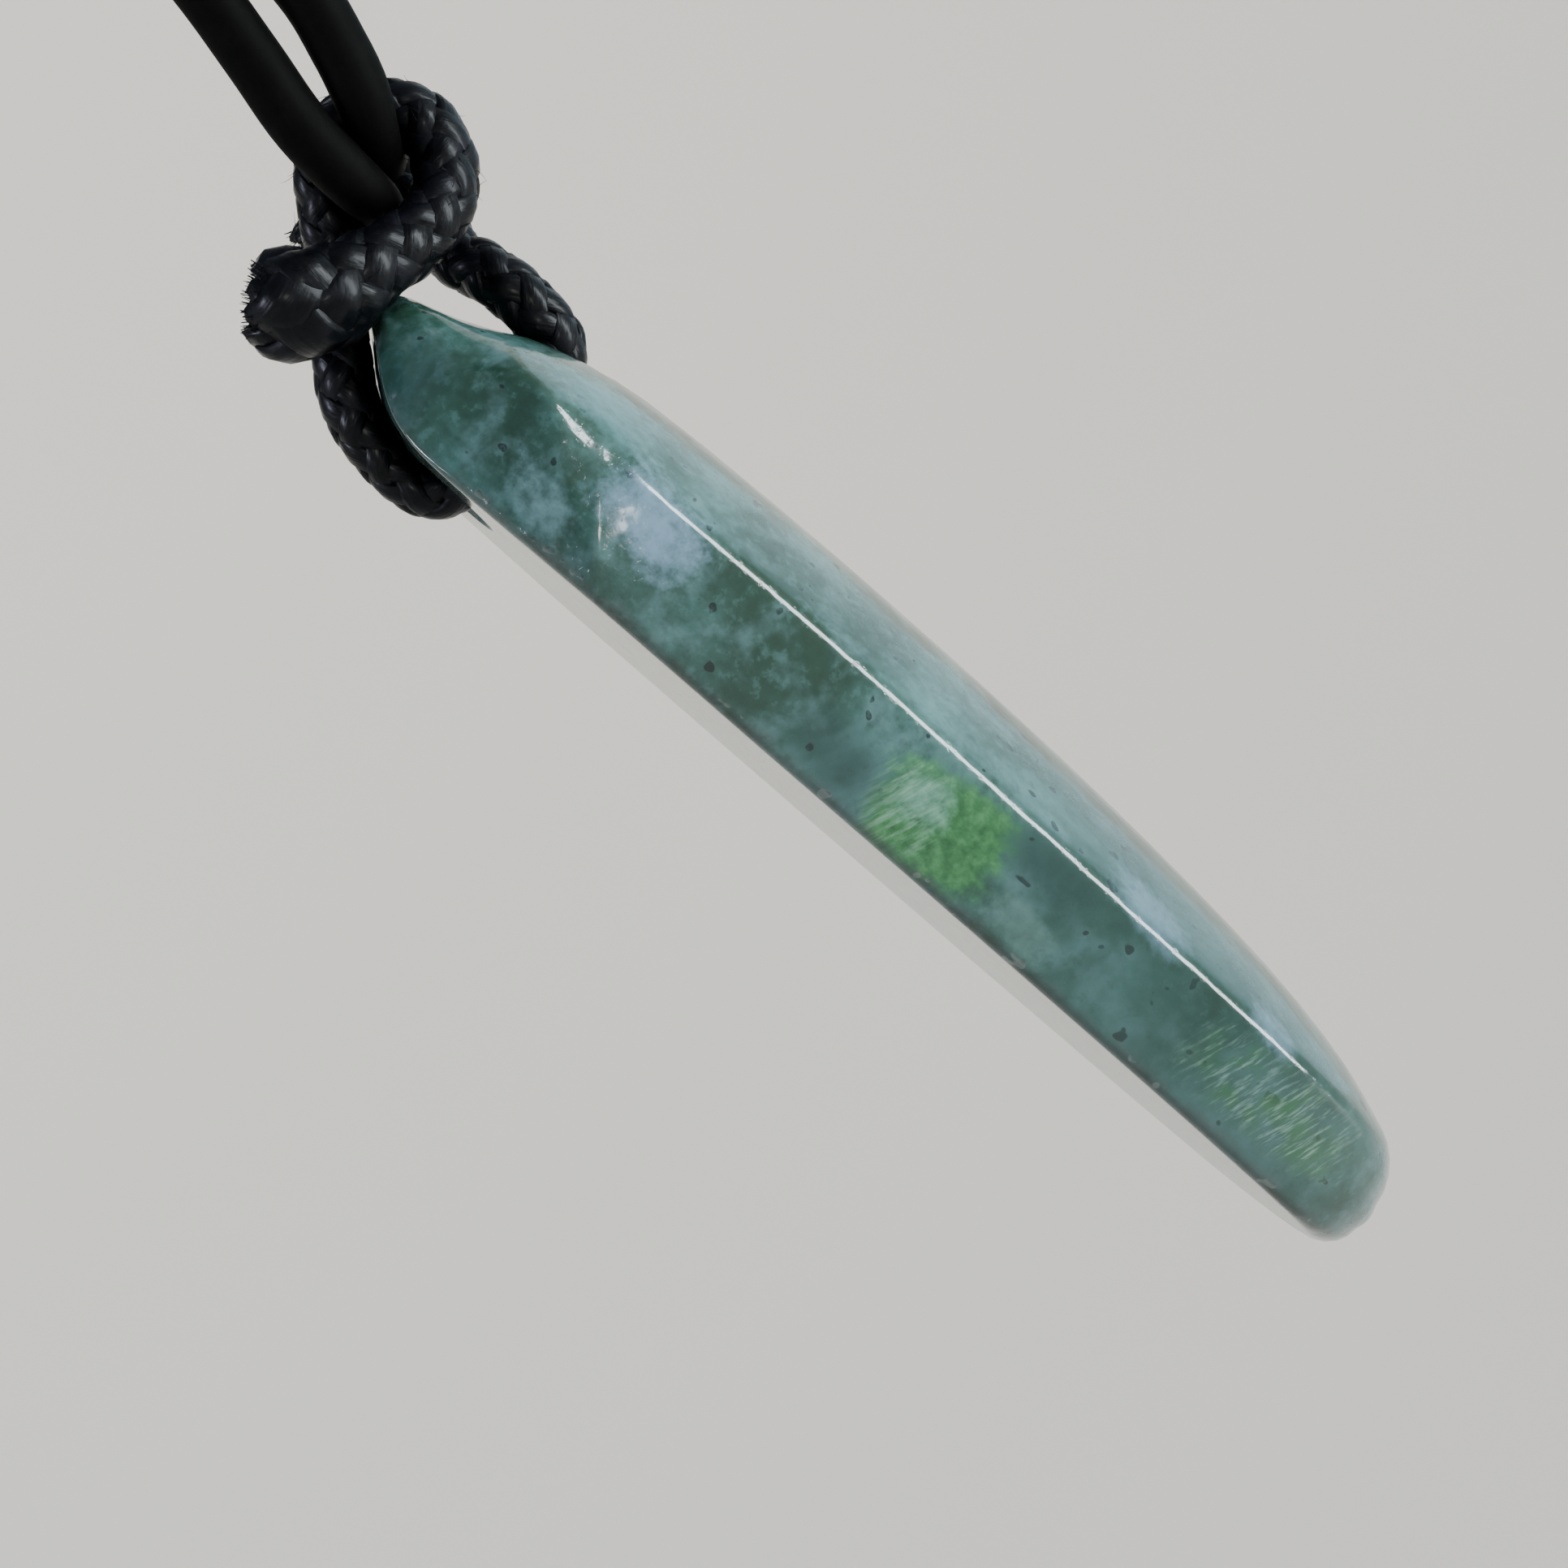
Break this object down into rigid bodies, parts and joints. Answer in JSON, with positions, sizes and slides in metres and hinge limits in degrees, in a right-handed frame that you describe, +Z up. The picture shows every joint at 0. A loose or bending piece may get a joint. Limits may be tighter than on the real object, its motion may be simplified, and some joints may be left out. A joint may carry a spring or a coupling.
{
  "type": "jade pendant necklace",
  "caption": "Domed jade pendant with a drilled hole, hung by a knotted bail of braided cord on a smooth round cord loop that closes with a barrel clasp.",
  "frame": {"origin": "middle of the underside of the barrel clasp, where the necklace lies on the nape", "axes": "+Z up, -Y towards the front of the wearer, +X to the wearer's left; the pendant hangs upright below and in front of the origin"},
  "size_m": [0.1219, 0.1178, 0.178],
  "materials": {
    "jade": "polished stone, cloudy blue-green with a bright green patch",
    "waxed_braid": "waxed braid, satin to glossy",
    "smooth_cord": "smooth, satin",
    "clasp": "satin"
  },
  "bodies": {
    "necklace": {"braided_bail": "waxed_braid", "neck_cord": "smooth_cord", "barrel_clasp": "clasp"},
    "pendant": {"jade_pendant": "jade"}
  },
  "joints": [
    {"name": "pendant_swing", "type": "hinge", "parent": "necklace", "child": "pendant", "pos_m": [0, -0.105, -0.133], "axis": [0, 1, 0], "range_deg": [-8, 8]}
  ]
}
